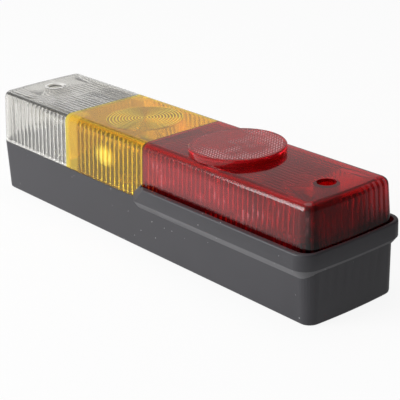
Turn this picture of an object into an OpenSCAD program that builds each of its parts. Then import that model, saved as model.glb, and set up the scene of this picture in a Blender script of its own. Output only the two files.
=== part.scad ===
// Rear lamp cluster with a clear, an amber and a red section under one welded cover.
// The lamp lies on its back: +X runs towards the red end, +Z points out of the lens.
// The origin is the middle of the flat back, between the two fixing holes.

/* [Body] */
// Half length of the body at the joint with the lens, at the crown of an end
body_half_l = 152.3; // [140:0.1:165]
// Half width of the body at the joint with the lens
body_half_w = 33.8; // [31:0.1:37]
// Height of the joint between body and lens above the back
joint_z = 33.8; // [30:0.1:42]
// Plan radius of the four upright corners
corner_r = 8; // [7.5:0.1:10]
// How far each end bulges out between its corners
crown = 1.5; // [0.8:0.1:3]
// Thickness of the body's walls
wall = 3.2; // [2.9:0.1:4]
// Thickness of the body's floor
floor_t = 3; // [2.5:0.1:4]
// How much the body narrows from the joint down to the back, each side
body_draft = 0.8; // [0.3:0.1:1.5]
// Radius of the edge round the back
foot_r = 1.5; // [0.8:0.1:2.5]
// Thickness of the low walls between the three chambers
partition_t = 2; // [1.5:0.1:3]
// Depth of the shallow relief in the back
relief_d = 0.8; // [0.4:0.1:1.2]
// Width of the land round the relief
relief_land = 6; // [4:0.5:8]

/* [Collar] */
// How far the collar stands out from the long walls
collar_side = 4.6; // [3.8:0.1:6]
// How far the collar stands out from the red end
collar_end = 1.8; // [1.6:0.1:2.5]
// Height of the collar above the joint
collar_h = 9.7; // [8:0.1:12]
// Thickness of the collar's long walls
collar_t = 3; // [2.4:0.1:3.4]
// Clearance between the collar and the lens at the red end
collar_end_gap = 0.3; // [0.25:0.05:0.4]
// Plan radius of the collar's corners
collar_r = 10; // [9:0.1:12]
// Radius of the collar's upper edge
collar_edge_r = 1.2; // [0.8:0.1:1.6]
// Height of the slanted underside of the collar
cove_h = 6; // [5:0.1:7]
// Where the collar's ramp meets the joint
ramp_x = -3; // [-12:0.5:4]
// Length of the ramp along the lamp
ramp_l = 11; // [8:0.5:16]

/* [Lens] */
// Height of the lens above the joint
lens_h = 34.9; // [30:0.1:42]
// Thickness of the lens
lens_t = 2.4; // [2:0.1:2.8]
// How much the lens narrows from its foot to its top, each side
lens_draft = 2.1; // [1.2:0.1:2.4]
// Radius of the lens's upper edge
lens_edge_r = 5; // [4:0.1:5.2]
// Step of the lens's foot inside the body's outline
lens_inset = 0.2; // [0.1:0.05:0.4]
// Gap under the lens's foot that the seal keeps open
lens_gap = 0.3; // [0.2:0.05:0.5]
// Where the clear lens meets the amber one, as a share of the body's half length
clear_joint_at = 0.475; // [0.45:0.005:0.5]
// Where the amber lens meets the red one, as a share of the body's half length
red_joint_at = 0.06; // [0.055:0.005:0.08]
// Thickness of the end walls of the amber lens
lens_web_t = 1.6; // [1.2:0.1:2]

/* [Lens pattern] */
// Pitch of the upright flutes of the clear and amber walls
flute_pitch = 4.5; // [4:0.1:6]
// How far a flute stands out of the inner wall
flute_proud = 0.9; // [0.6:0.1:1.2]
// Width of the plain border of the amber lens
plain_border = 11.5; // [8:0.5:14]
// Pitch of the ribs inside the clear and red tops
rib_pitch = 3; // [2.5:0.1:4]
// Depth of these ribs
rib_proud = 0.6; // [0.4:0.1:0.9]
// Pitch of the upright ribs of the red wall
red_rib_pitch = 4; // [3:0.1:5]
// How far these ribs stand out of the inner wall
red_rib_proud = 0.5; // [0.3:0.1:0.9]
// Pitch of the stepped rings in the amber top
ring_pitch = 2; // [1.6:0.1:2.1]
// Number of stepped rings
ring_count = 12; // [8:1:12]
// Depth of one ring
ring_proud = 0.6; // [0.4:0.1:1]

/* [Reflector] */
// Radius of the round red reflector
reflector_r = 28.5; // [26:0.1:29]
// Height of the reflector above the red lens
reflector_h = 4.2; // [3.5:0.1:6]
// Thickness of the reflector's face and wall
reflector_t = 2; // [1.6:0.1:2.4]
// Place of the reflector, as a share of the body's half length
reflector_at = 0.384; // [0.36:0.001:0.41]
// Pitch of the reflector's prism grooves
prism_pitch = 3.6; // [3:0.1:6]
// Depth of the prism grooves
prism_d = 1.2; // [0.6:0.1:1.5]

/* [Screws] */
// Distance of the lens screws from the ends of the body
screw_in = 21.8; // [20.5:0.1:23]
// Radius of the screw well in the lens
well_r = 5.5; // [5:0.1:6]
// Wall of the screw well
well_t = 1.8; // [1.4:0.1:2.2]
// Height of the well's seat above the joint
seat_h = 6; // [4:0.5:12]
// Radius of the screw's shank
screw_r = 2; // [1.8:0.05:2.2]
// Radius of the screw's head
screw_head_r = 4.2; // [3.8:0.1:4.5]
// Height of the screw's head
screw_head_h = 3; // [2.4:0.1:3.5]
// Thickness of the sealing washer under the head
washer_t = 1; // [0.8:0.1:1.5]
// Radius of the body's screw posts
post_r = 5.5; // [4.5:0.1:6]
// Depth to which the screw bites into its post
screw_bite = 22; // [14:1:28]

/* [Fixing] */
// Distance between the two fixing holes
fixing_spacing = 120; // [116:1:122]
// Radius of a fixing hole
fixing_r = 3.3; // [2.6:0.1:3.6]
// Radius of the boss round a fixing hole
fixing_boss_r = 7; // [6:0.1:8]
// Height of the boss above the floor
fixing_boss_h = 3; // [2:0.5:5]
// Place of the cable entry along the lamp
cable_x = -4.5; // [-5:0.5:-3]
// Radius of the grommet's bore, where the cable passes
cable_r = 4; // [3:0.1:4.5]
// Radius of the hole in the floor for the grommet
grommet_hole_r = 6.5; // [6:0.1:7]
// Radius of the grommet's flanges
grommet_r = 8.5; // [8:0.1:9]

/* [Bulbs] */
// Distance of the reversing bulb from its end of the body
reversing_in = 50.3; // [46:0.1:54]
// Place of the indicator bulb, as a share of the body's half length
indicator_at = 0.197; // [0.18:0.001:0.22]
// Distance of the stop and tail bulb from its end of the body
stop_in = 44.3; // [44:0.1:46]
// Radius of a bulb's metal cap
cap_r = 7.5; // [7.3:0.05:7.6]
// Length of a bulb's cap
cap_l = 15; // [13:0.5:17]
// Radius of a bulb's glass
glass_r = 13.2; // [12:0.1:13.5]
// Room between the bulbs and the rings inside the lens
bulb_room = 4.5; // [3:0.1:7]
// Radius of a bulb's bayonet pins
bayonet_r = 1; // [0.8:0.05:1.1]
// Clearance between cap and holder
cap_gap = 0.3; // [0.25:0.05:0.4]
// Thickness of the holders' sheet
sheet_t = 0.8; // [0.6:0.1:1]
// Half width of a holder's foot
foot_half = 11.5; // [11.3:0.1:12]
// Height of the walls that carry the holders
bench_h = 5; // [4:0.5:6]
// Thickness of the insulating disc
disc_t = 1.5; // [1.2:0.1:2]
// Distance between the two contacts of the stop and tail bulb
contact_pitch = 7; // [6.6:0.1:7.4]
// Radius of the contact springs
spring_r = 2.4; // [2.2:0.1:2.6]
// Radius of their wire
spring_wire_r = 0.3; // [0.2:0.05:0.4]

/* [Wiring] */
// Thickness of the brass strips
strip_t = 0.8; // [0.6:0.1:1]
// Width of the brass strips
strip_w = 4; // [3:0.1:4.2]
// Distance of the earth strip from the lamp's middle line
earth_y = 11; // [10.8:0.1:11.2]
// Distance of the reversing strip from the lamp's middle line
reversing_y = 20; // [19.5:0.1:21]
// Distance of the indicator and tail strips from the lamp's middle line
inner_y = 13.5; // [13:0.1:14]
// Place of the terminal block, as a share of the body's half length
terminal_at = 0.21; // [0.2:0.001:0.22]
// Length of the terminal block across its clamps
terminal_l = 14; // [12:0.5:15]
// Height of the terminal block
terminal_h = 11; // [10:0.5:13]
// Distance from one clamp to the next
clamp_pitch = 9; // [8.8:0.1:9.4]
// Width of one brass clamp
clamp_w = 6; // [5.6:0.1:6.4]
// Height of one brass clamp
clamp_h = 5; // [4.5:0.1:6]

/* [Hidden] */

$fn = 48;
small_fn = 24;
large_fn = 96;
eps = 0.01;
far = 400;

black = [0.13, 0.13, 0.14];
rubber = [0.1, 0.1, 0.1];
brass = [0.78, 0.63, 0.3];
steel = [0.72, 0.73, 0.75];

// Clearances: a screw in the hole it grips, a screw in a hole it passes, other loose pieces
grip_gap = 0.05;
pass_gap = 0.4;
loose_gap = 0.2;
seal_gap = 0.1;
strip_gap = 0.6;

// Places along the lamp
clear_joint_x = -clear_joint_at * body_half_l;
red_joint_x = red_joint_at * body_half_l;
reflector_x = reflector_at * body_half_l;
screw_x = body_half_l - screw_in;
reversing_x = reversing_in - body_half_l;
indicator_x = -indicator_at * body_half_l;
stop_x = body_half_l - stop_in;
terminal_x = terminal_at * body_half_l;

// Heights
lens_z = joint_z + lens_gap;
lens_top = lens_z + lens_h;
lens_roof = lens_top - lens_t;
collar_top = joint_z + collar_h;
seat_z = joint_z + seat_h;
bench_z = floor_t + bench_h;
strip_top = floor_t + strip_t;

// Plan of the lamp: each end is a large arc that runs tangent into the corner arcs.
// Every outline is drawn some way inside the same plan, so that the faces between two outlines are flat.
corner_steps = 7;
end_steps = 8;
function end_arc(half_w) = (half_w * half_w + crown * crown) / (2 * crown);
function plan_points(half_l, half_w, r, inset) =
    let (
        arc_r = end_arc(half_w),
        arc_x = half_l - arc_r,
        cy = half_w - r,
        cx = arc_x + sqrt(pow(arc_r - r, 2) - cy * cy),
        phi = atan2(cy, cx - arc_x),
        turn = [for (i = [0 : corner_steps]) phi + (90 - phi) * i / corner_steps],
        low = [for (i = [corner_steps : -1 : 0]) [cx, -cy] + (r - inset) * [cos(turn[i]), -sin(turn[i])]],
        high = [for (a = turn) [cx, cy] + (r - inset) * [cos(a), sin(a)]],
        crowned = [
            for (i = [1 : end_steps - 1])
            let (a = phi * (2 * i / end_steps - 1))
            [arc_x, 0] + (arc_r - inset) * [cos(a), sin(a)]
        ],
        end = concat(low, crowned, high)
    )
    concat(end, [for (p = end) -p]);

// Joins outlines of one plan into a solid. Each level is its distance inside the plan and its height.
module skin(half_l, half_w, r, levels) {
    rings = [for (l = levels) plan_points(half_l, half_w, r, l[0])];
    n = len(rings[0]);
    top = len(levels) - 1;
    points = [for (k = [0 : top], p = rings[k]) [p[0], p[1], levels[k][1]]];
    sides = [
        for (k = [0 : top - 1], i = [0 : n - 1])
        let (j = (i + 1) % n, a = k * n, b = a + n)
        each [[a + i, b + i, b + j], [a + i, b + j, a + j]]
    ];
    caps = [[for (i = [0 : n - 1]) i], [for (i = [n - 1 : -1 : 0]) top * n + i]];
    polyhedron(points, concat(sides, caps), convexity = 4);
}

// A straight block of a plan
module plan_block(half_l, half_w, r, inset, z0, z1) {
    translate([0, 0, z0]) linear_extrude(z1 - z0) polygon(plan_points(half_l, half_w, r, inset));
}

module body_block(inset, z0, z1) {
    plan_block(body_half_l, body_half_w, corner_r, inset, z0, z1);
}

// All that lies between two places along the lamp, above the floor of the space
module slab(x0, x1) {
    translate([x0, -far / 2, -eps]) cube([x1 - x0, far, far / 2]);
}

module both_ends() {
    children();
    mirror([1, 0, 0]) children();
}

// Body
groove_w = 1.6;
groove_d = 2;
groove_inset = (wall - groove_w) / 2;
edge_steps = 5;
foot_steps = 3;

module body_shell() {
    foot = [
        for (i = [0 : foot_steps])
        let (a = 90 * i / foot_steps)
        [body_draft + foot_r * (1 - sin(a)), foot_r * (1 - cos(a))]
    ];
    difference() {
        skin(body_half_l, body_half_w, corner_r, concat(foot, [[0, joint_z]]));
        body_block(wall, floor_t, far);
        difference() {
            body_block(groove_inset, joint_z - groove_d, far);
            body_block(groove_inset + groove_w, 0, 2 * far);
        }
    }
}

// The collar round the red end, with a slanted underside
collar_bite = 0.3;
collar_root = collar_side + collar_bite;
cove_slope = cove_h / collar_side;
ramp_a = atan2(collar_h, ramp_l);
block_x = ramp_x + ramp_l + 3 * cove_h;
collar_half_w = body_half_w + collar_side;

module collar_ring() {
    edge = [
        for (i = [0 : edge_steps])
        let (a = 90 * i / edge_steps)
        [collar_edge_r * (1 - cos(a)), collar_top - collar_edge_r * (1 - sin(a))]
    ];
    low = [[collar_root, joint_z - cove_slope * collar_root], [0, joint_z]];
    intersection() {
        skin(body_half_l + collar_end, collar_half_w, collar_r, concat(low, edge));
        slab(block_x - 1, far);
    }
}

// One thin slice of the collar's beginning, at a distance out from the wall
slice_t = 0.2;
ramp_fn = 32;

module ramp_slice(out, top) {
    inset = max(out, 0) * cove_slope;
    low = joint_z - cove_h + inset;
    ramp_top_x = ramp_x + (top - joint_z) * ramp_l / collar_h + inset / sin(ramp_a);
    translate([0, body_half_w + out, 0]) rotate([90, 0, 0]) {
        translate([ramp_x + cove_h / sin(ramp_a), joint_z]) {
            cylinder(r = max(cove_h - inset, slice_t), h = slice_t, $fn = ramp_fn);
        }
        translate([ramp_top_x, top - slice_t, 0]) cube(slice_t);
        translate([block_x - slice_t, low, 0]) cube([slice_t, top - low, slice_t]);
    }
}

module ramp_block() {
    turned = 0.3 * collar_edge_r;
    hull() {
        ramp_slice(collar_side - collar_root, collar_top);
        ramp_slice(0, collar_top);
        ramp_slice(collar_side - collar_edge_r, collar_top);
        ramp_slice(collar_side - turned, collar_top - turned);
        ramp_slice(collar_side, collar_top - collar_edge_r);
    }
}

module collar() {
    pocket_half_l = body_half_l - lens_inset + collar_end_gap;
    difference() {
        union() {
            collar_ring();
            ramp_block();
            mirror([0, 1, 0]) ramp_block();
        }
        body_block(collar_bite, -far, far);
        body_block(0, joint_z, far);
        intersection() {
            plan_block(pocket_half_l, collar_half_w - collar_t, corner_r, 0, joint_z, far);
            slab(red_joint_x, far);
        }
    }
}

// The low walls between the chambers have notches for the brass strips.
module partition(x) {
    half_w = body_half_w - wall / 2;
    notch_w = strip_w + 2 * strip_gap;
    difference() {
        translate([x - partition_t / 2, -half_w, floor_t - eps]) {
            cube([partition_t, 2 * half_w, joint_z - groove_d - floor_t]);
        }
        for (y = [reversing_y, inner_y, -earth_y]) {
            translate([x - partition_t, y - notch_w / 2, floor_t]) {
                cube([2 * partition_t, notch_w, strip_t + strip_gap]);
            }
        }
    }
}

// Posts for the lens screws, each with a web to the end wall
gusset_t = 2;
gusset_h = 14;

module screw_post() {
    translate([screw_x, 0, floor_t - eps]) {
        cylinder(r = post_r, h = seat_z - floor_t + eps);
        translate([0, -gusset_t / 2, 0]) cube([body_half_l - wall / 2 - screw_x, gusset_t, gusset_h]);
    }
}

module fixing_boss() {
    translate([fixing_spacing / 2, 0, floor_t - eps]) cylinder(r = fixing_boss_r, h = fixing_boss_h + eps);
}

// Two short walls carry each bulb holder.
bench_x = 9;
bench_t = 5;
bench_short = 3.5;
bench_screw_y = 7.8;
pilot_r = 1.1;
bulb_places = [reversing_x, indicator_x, stop_x];

module benches() {
    for (x = bulb_places, sx = [-1, 1]) {
        translate([x + sx * bench_x - bench_t / 2, bench_short - foot_half, floor_t - eps]) {
            cube([bench_t, 2 * foot_half - bench_short, bench_h + eps]);
        }
    }
}

module at_holder_screws() {
    for (x = bulb_places, sx = [-1, 1]) {
        translate([x + sx * bench_x, bench_screw_y, 0]) children();
    }
}

module housing() {
    color(black) difference() {
        union() {
            body_shell();
            collar();
            partition(clear_joint_x);
            partition(red_joint_x);
            both_ends() screw_post();
            both_ends() fixing_boss();
            benches();
        }
        both_ends() {
            translate([screw_x, 0, seat_z - screw_bite]) cylinder(r = screw_r + grip_gap, h = far);
            translate([fixing_spacing / 2, 0, -1]) cylinder(r = fixing_r, h = far);
        }
        translate([0, 0, floor_t]) at_holder_screws() cylinder(r = pilot_r, h = far, $fn = small_fn);
        translate([cable_x, 0, -1]) cylinder(r = grommet_hole_r, h = far);
        relief();
    }
}

// The shallow relief of the back leaves a land at the edge and pads round the holes.
fixing_pad = 2;

module relief() {
    half_w = body_half_w - body_draft - relief_land;
    half_l = body_half_l - body_draft - relief_land;
    difference() {
        translate([-half_l, -half_w, -eps]) cube([2 * half_l, 2 * half_w, relief_d + eps]);
        both_ends() translate([fixing_spacing / 2, 0, -1]) cylinder(r = fixing_boss_r + fixing_pad, h = far);
    }
}

// Lens cover, before it is divided into its three colours
draft_a = atan(lens_draft / lens_h);
edge_z = lens_h - lens_edge_r;
edge_in = lens_draft * edge_z / lens_h + lens_edge_r / cos(draft_a);

function cover_levels(t) = concat(
    [[lens_inset + t / cos(draft_a), 0]],
    [
        for (i = [0 : edge_steps + 1])
        let (a = draft_a + (90 - draft_a) * i / (edge_steps + 1))
        [lens_inset + edge_in - (lens_edge_r - t) * cos(a), edge_z + (lens_edge_r - t) * sin(a)]
    ]
);

module cover_block(t, x0, x1) {
    intersection() {
        translate([0, 0, lens_z]) skin(body_half_l, body_half_w, corner_r, cover_levels(t));
        slab(x0, x1);
    }
}

module cover(x0, x1) {
    difference() {
        cover_block(0, x0, x1);
        translate([0, 0, -eps]) cover_block(lens_t, x0 - 1, x1 + 1);
    }
}

// Upright flutes inside the walls, which run out in the rounding of the upper edge.
// Each sheet has its root within the wall.
foot_in = lens_inset + lens_t / cos(draft_a);
flute_foot = 0.2;
flute_stop = 0.5;
flute_h = lens_h - lens_t - flute_foot - flute_stop;
wave_steps = 6;
corner_margin = 2;

function wave(count, pitch, proud) = [
    for (i = [0 : count * wave_steps])
    [(i / wave_steps - count / 2) * pitch, -proud * abs(sin(180 * i / wave_steps))]
];

module wall_flutes(x0, x1, pitch, proud) {
    count = floor((x1 - x0) / pitch);
    half = count * pitch / 2;
    sheet = concat([[-half, lens_t / 2]], wave(count, pitch, proud), [[half, lens_t / 2]]);
    for (sy = [0, 1]) {
        mirror([0, sy, 0]) translate([(x0 + x1) / 2, body_half_w - foot_in, lens_z + flute_foot]) {
            rotate([draft_a, 0, 0]) linear_extrude(flute_h) polygon(sheet);
        }
    }
}

// Those of the end wall follow its crown.
function bulge(y) = end_arc(body_half_w) - sqrt(pow(end_arc(body_half_w), 2) - y * y);

module end_flutes(pitch, proud) {
    count = floor(2 * (body_half_w - corner_r) / pitch);
    half = count * pitch / 2;
    root = lens_t / 2 - bulge(half);
    curved = [for (p = wave(count, pitch, proud)) [p[0], p[1] - bulge(p[0])]];
    translate([body_half_l - foot_in, 0, lens_z + flute_foot]) rotate([0, 0, -90]) rotate([draft_a, 0, 0]) {
        linear_extrude(flute_h) polygon(concat([[-half, root]], curved, [[half, root]]));
    }
}

// Fine ribs along the underside of the top
roof_half_w = body_half_w - lens_inset - edge_in;

module roof_ribs(x0, x1) {
    count = floor(2 * roof_half_w / rib_pitch);
    half = count * rib_pitch / 2;
    teeth = [for (i = [0 : 2 * count]) [i * rib_pitch / 2 - half, i % 2 == 0 ? 0 : -rib_proud]];
    translate([x0, 0, lens_roof]) rotate([90, 0, 90]) {
        linear_extrude(x1 - x0) polygon(concat([[-half, lens_t / 2]], teeth, [[half, lens_t / 2]]));
    }
}

// A well reaches down from the top to the seat of each lens screw.
seat_t = 2.5;
well_margin = 3;
well_room = well_r + well_t + well_margin;

module screw_well() {
    translate([screw_x, 0, seat_z]) cylinder(r = well_r + well_t, h = lens_top - seat_z - lens_t / 2);
}

module screw_well_bore() {
    translate([screw_x, 0, 0]) cylinder(r = screw_r + pass_gap, h = far);
    translate([screw_x, 0, seat_z + seat_t]) cylinder(r = well_r, h = far);
}

module clear_lens() {
    side_start = corner_r + corner_margin - body_half_l;
    color([0.86, 0.88, 0.87, 0.5]) difference() {
        union() {
            cover(-far / 2, clear_joint_x);
            wall_flutes(side_start, clear_joint_x, flute_pitch, flute_proud);
            mirror([1, 0, 0]) end_flutes(flute_pitch, flute_proud);
            roof_ribs(well_room - screw_x, clear_joint_x);
            mirror([1, 0, 0]) screw_well();
        }
        mirror([1, 0, 0]) screw_well_bore();
    }
}

// The amber lens has end walls of its own, set back from the welds. They stop above the partitions.
web_gap = 5;
web_in = 0.8;

module amber_lens() {
    last_web_x = red_joint_x - web_in - lens_web_t;
    color([0.95, 0.6, 0.1, 0.6]) {
        cover(clear_joint_x, red_joint_x);
        wall_flutes(clear_joint_x + plain_border, last_web_x, flute_pitch, flute_proud);
        amber_rings();
        for (x = [clear_joint_x + web_in, last_web_x]) {
            intersection() {
                cover_block(lens_t / 2, x, x + lens_web_t);
                translate([-far / 2, -far / 2, joint_z + web_gap]) cube(far);
            }
        }
    }
}

// Stepped rings round the place above the bulb, each with a flat land beside its slope
ring_land = 0.9;

module amber_rings() {
    translate([indicator_x, 0, lens_roof]) rotate_extrude($fn = large_fn) {
        for (i = [1 : ring_count]) {
            in = (i - 1) * ring_pitch + ring_land;
            polygon([[i * ring_pitch, eps], [in, eps], [i * ring_pitch, -ring_proud]]);
        }
    }
}

module red_lens() {
    side_end = body_half_l - corner_r - corner_margin;
    color([0.75, 0.05, 0.08, 0.7]) difference() {
        union() {
            cover(red_joint_x, far / 2);
            wall_flutes(red_joint_x, side_end, red_rib_pitch, red_rib_proud);
            end_flutes(red_rib_pitch, red_rib_proud);
            roof_ribs(red_joint_x, screw_x - well_room);
            screw_well();
        }
        screw_well_bore();
    }
}

// Round reflector: a shallow cap whose face carries small pyramids on its underside
module prism_teeth() {
    count = ceil(2 * reflector_r / prism_pitch);
    half = count * prism_pitch / 2;
    teeth = [for (i = [0 : 2 * count]) [i * prism_pitch / 2 - half, i % 2 == 0 ? 0 : -prism_d]];
    rotate([90, 0, 0]) linear_extrude(2 * half, center = true) {
        polygon(concat([[-half, reflector_t / 2]], teeth, [[half, reflector_t / 2]]));
    }
}

module reflex_reflector() {
    inner_r = reflector_r - reflector_t;
    inner_h = reflector_h - reflector_t;
    color([0.8, 0.05, 0.05]) translate([reflector_x, 0, lens_top]) {
        difference() {
            cylinder(r = reflector_r, h = reflector_h, $fn = large_fn);
            translate([0, 0, -1]) cylinder(r = inner_r, h = inner_h + 1, $fn = large_fn);
        }
        intersection() {
            cylinder(r = inner_r + reflector_t / 2, h = reflector_h, $fn = large_fn);
            translate([0, 0, inner_h]) prism_teeth();
            translate([0, 0, inner_h]) rotate([0, 0, 90]) prism_teeth();
        }
    }
}

module lens_seal() {
    color(rubber) difference() {
        body_block(groove_inset + seal_gap, joint_z - groove_d, lens_z);
        body_block(groove_inset + groove_w - seal_gap, 0, far);
    }
}

// Cross-slotted lens screws with a washer under each head
head_z = seat_z + seat_t + washer_t;
screw_spare = 1;
cross_w = 1;
cross_l = 4.8;
cross_d = 1.4;

module lens_screws() {
    shank_h = head_z - seat_z + screw_bite - screw_spare;
    color(steel) both_ends() translate([screw_x, 0, head_z]) {
        translate([0, 0, -shank_h]) cylinder(r = screw_r, h = shank_h + eps);
        difference() {
            cylinder(r = screw_head_r, h = screw_head_h);
            translate([-cross_w / 2, -cross_l / 2, screw_head_h - cross_d]) cube([cross_w, cross_l, far]);
            translate([-cross_l / 2, -cross_w / 2, screw_head_h - cross_d]) cube([cross_l, cross_w, far]);
        }
    }
}

module screw_washers() {
    color(rubber) both_ends() translate([screw_x, 0, head_z - washer_t]) difference() {
        cylinder(r = well_r - pass_gap, h = washer_t);
        translate([0, 0, -1]) cylinder(r = screw_r + loose_gap, h = far);
    }
}

// Bulb holders: a foot plate, and a tube with two open slots for the bulb's pins
tube_r = cap_r + cap_gap;
spring_hole_r = contact_pitch / 2 + spring_r + spring_wire_r + loose_gap;
disc_rise = 1;
disc_z = bench_z + sheet_t + disc_rise;
pin_head_h = 0.8;
tip_h = 1;
bayonet_up = 6;
cap_z = disc_z + disc_t + pin_head_h + tip_h;
bayonet_z = cap_z + bayonet_up;

module holder(x) {
    slot_half = bayonet_r + loose_gap;
    translate([x, 0, bench_z]) difference() {
        union() {
            translate([-foot_half, -foot_half, 0]) cube([2 * foot_half, 2 * foot_half, sheet_t]);
            cylinder(r = tube_r + sheet_t, h = cap_z + cap_l - bench_z);
        }
        translate([0, 0, sheet_t]) cylinder(r = tube_r, h = far);
        translate([0, 0, -1]) cylinder(r = spring_hole_r, h = far);
        translate([-far / 2, -slot_half, bayonet_z - bench_z - slot_half]) cube([far, 2 * slot_half, far]);
        for (sx = [-1, 1]) {
            translate([sx * bench_x, bench_screw_y, -1]) {
                cylinder(r = pilot_r + loose_gap, h = 3, $fn = small_fn);
            }
        }
    }
}

module reversing_holder() {
    color(steel) holder(reversing_x);
}

module indicator_holder() {
    color(steel) holder(indicator_x);
}

module stop_holder() {
    color(steel) holder(stop_x);
}

// A bulb with its cap, bayonet pins, solder tips and glass
tip_r = 1.8;
neck_in = 0.6;
neck_r = cap_r - neck_in;
bayonet_out = 1.6;
bayonet_half = cap_r + bayonet_out;
glass_foot_r = 0.92 * glass_r;
glass_z = lens_roof - ring_proud - bulb_room - glass_r - cap_z;

module bulb(x, tips) {
    cone_h = glass_z - cap_l - 0.3 * glass_r;
    color([0.9, 0.9, 0.88]) translate([x, 0, cap_z]) {
        cylinder(r = cap_r, h = cap_l);
        translate([0, 0, cap_l - eps]) cylinder(r = neck_r, h = glass_z - cap_l);
        translate([0, 0, cap_l]) cylinder(r1 = neck_r, r2 = glass_foot_r, h = cone_h);
        translate([0, 0, glass_z]) sphere(r = glass_r);
        translate([-bayonet_half, 0, bayonet_z - cap_z]) rotate([0, 90, 0]) {
            cylinder(r = bayonet_r, h = 2 * bayonet_half, $fn = small_fn);
        }
        for (y = tips) {
            translate([0, y, -tip_h]) cylinder(r = tip_r, h = 2 * tip_h, $fn = small_fn);
        }
    }
}

single = [0];
double = [-contact_pitch / 2, contact_pitch / 2];

module reversing_bulb() {
    bulb(reversing_x, single);
}

module indicator_bulb() {
    bulb(indicator_x, single);
}

module stop_bulb() {
    bulb(stop_x, double);
}

// Contacts under each bulb: an insulating disc with headed pins, pressed up by springs
pin_r = 1;
pin_foot_h = 0.6;
pin_tail = 2.5;
spring_top = disc_z - pin_foot_h;

module at_contacts() {
    translate([reversing_x, 0, 0]) children();
    translate([indicator_x, 0, 0]) children();
    for (y = double) {
        translate([stop_x, y, 0]) children();
    }
}

module contact_discs() {
    color([0.55, 0.38, 0.22]) difference() {
        for (x = bulb_places) {
            translate([x, 0, disc_z]) cylinder(r = cap_r, h = disc_t);
        }
        at_contacts() cylinder(r = pin_r + seal_gap, h = far, $fn = small_fn);
    }
}

module contact_pins() {
    color(brass) at_contacts() {
        translate([0, 0, disc_z + disc_t]) cylinder(r = tip_r, h = pin_head_h, $fn = small_fn);
        translate([0, 0, disc_z - pin_tail]) {
            cylinder(r = pin_r, h = disc_t + pin_tail + eps, $fn = small_fn);
        }
        translate([0, 0, spring_top]) cylinder(r = spring_r + spring_wire_r, h = pin_foot_h, $fn = small_fn);
    }
}

// A coil of round wire, swept along its helix
coil_turns = 3;
coil_steps = 14;
wire_sides = 6;

function coil_point(i, j, h) =
    let (
        turn = i / coil_steps,
        b = 360 * j / wire_sides,
        r = spring_r + spring_wire_r * cos(b),
        rise = (h - 2 * spring_wire_r) * turn / coil_turns
    )
    [r * cos(360 * turn), r * sin(360 * turn), spring_wire_r * (1 + sin(b)) + rise];

module coil(h) {
    n = coil_turns * coil_steps;
    points = [for (i = [0 : n], j = [0 : wire_sides - 1]) coil_point(i, j, h)];
    sides = [
        for (i = [0 : n - 1], j = [0 : wire_sides - 1])
        let (k = (j + 1) % wire_sides, a = i * wire_sides, b = a + wire_sides)
        each [[a + j, b + j, b + k], [a + j, b + k, a + k]]
    ];
    ends = [
        [for (j = [0 : wire_sides - 1]) j],
        [for (j = [wire_sides - 1 : -1 : 0]) n * wire_sides + j]
    ];
    polyhedron(points, concat(sides, ends), convexity = 6);
}

module contact_springs() {
    color(steel) at_contacts() translate([0, 0, strip_top]) coil(spring_top - strip_top);
}

holder_screw_head_h = 1.4;

module holder_screws() {
    color(steel) translate([0, 0, bench_z + sheet_t]) at_holder_screws() {
        cylinder(r = 2 * pilot_r, h = holder_screw_head_h, $fn = small_fn);
        translate([0, 0, -bench_h]) cylinder(r = pilot_r - grip_gap, h = bench_h + eps, $fn = small_fn);
    }
}

// Brass strips on the floor, each made of straight runs
module run_x(x0, x1, y) {
    translate([min(x0, x1) - strip_w / 2, y - strip_w / 2, floor_t]) {
        cube([abs(x1 - x0) + strip_w, strip_w, strip_t]);
    }
}

module run_y(x, y0, y1) {
    translate([x - strip_w / 2, min(y0, y1) - strip_w / 2, floor_t]) {
        cube([strip_w, abs(y1 - y0) + strip_w, strip_t]);
    }
}

// The round pad under a contact spring
module pad(x, y) {
    translate([x, y, floor_t]) cylinder(r = spring_r + strip_gap, h = strip_t, $fn = small_fn);
}

clamps = 5;
terminal_in = terminal_x - terminal_l;
terminal_out = terminal_x + terminal_l;
strip_end = 1;

function clamp_y(i) = (i - (clamps - 1) / 2) * clamp_pitch;

module reversing_strip() {
    color(brass) {
        pad(reversing_x, 0);
        run_y(reversing_x, 0, reversing_y);
        run_x(reversing_x, terminal_in, reversing_y);
        run_y(terminal_in, reversing_y, clamp_y(4));
        run_x(terminal_in, terminal_x + strip_end, clamp_y(4));
    }
}

module indicator_strip() {
    color(brass) {
        pad(indicator_x, 0);
        run_y(indicator_x, 0, inner_y);
        run_x(indicator_x, terminal_in, inner_y);
        run_y(terminal_in, inner_y, clamp_y(3));
        run_x(terminal_in, terminal_x + strip_end, clamp_y(3));
    }
}

module tail_strip() {
    color(brass) {
        pad(stop_x, contact_pitch / 2);
        run_y(stop_x, contact_pitch / 2, inner_y);
        run_x(terminal_out, stop_x, inner_y);
        run_y(terminal_out, inner_y, clamp_y(2));
        run_x(terminal_x - strip_end, terminal_out, clamp_y(2));
    }
}

module stop_strip() {
    color(brass) {
        pad(stop_x, -contact_pitch / 2);
        run_y(stop_x, -contact_pitch / 2, clamp_y(0));
        run_x(terminal_x - strip_end, stop_x, clamp_y(0));
    }
}

// The earth strip passes through its clamp and has an upright tab under each bulb holder.
module earth_strip() {
    last_x = stop_x - foot_half + strip_w / 2;
    color(brass) {
        run_x(reversing_x, terminal_in, -earth_y);
        run_y(terminal_in, -earth_y, clamp_y(1));
        run_x(terminal_in, terminal_out, clamp_y(1));
        run_y(terminal_out, -earth_y, clamp_y(1));
        run_x(terminal_out, last_x, -earth_y);
        for (x = [reversing_x, indicator_x, last_x]) {
            translate([x - strip_w / 2, -earth_y - strip_t / 2, floor_t]) cube([strip_w, strip_t, bench_h]);
        }
    }
}

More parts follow.
